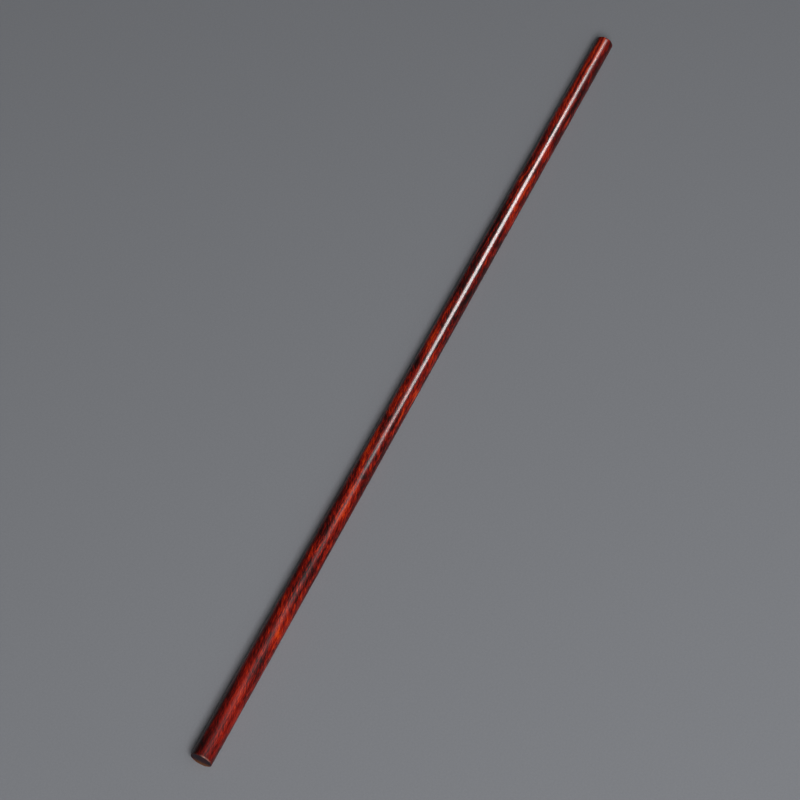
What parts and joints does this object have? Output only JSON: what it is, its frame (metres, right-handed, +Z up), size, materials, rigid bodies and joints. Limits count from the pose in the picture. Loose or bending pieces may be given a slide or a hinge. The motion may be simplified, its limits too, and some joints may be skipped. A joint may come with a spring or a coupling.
{
  "type": "tapered wooden short staff",
  "caption": "Round, slightly tapered short staff of lacquered dark red hardwood for martial arts practice, thick at the butt and thinner at the rounded tip.",
  "frame": {"origin": "on the surface that the staff lies on, under the middle of its length", "axes": "+X along the staff from the thick butt to the thin tip, +Z up from the surface that it lies on, +Y across it"},
  "size_m": [1.28, 0.03, 0.03],
  "materials": {
    "lacquered_hardwood": "clear high-gloss lacquer over streaked red and black-brown rosewood"
  },
  "bodies": {
    "root": {"staff": "lacquered_hardwood"}
  },
  "joints": []
}
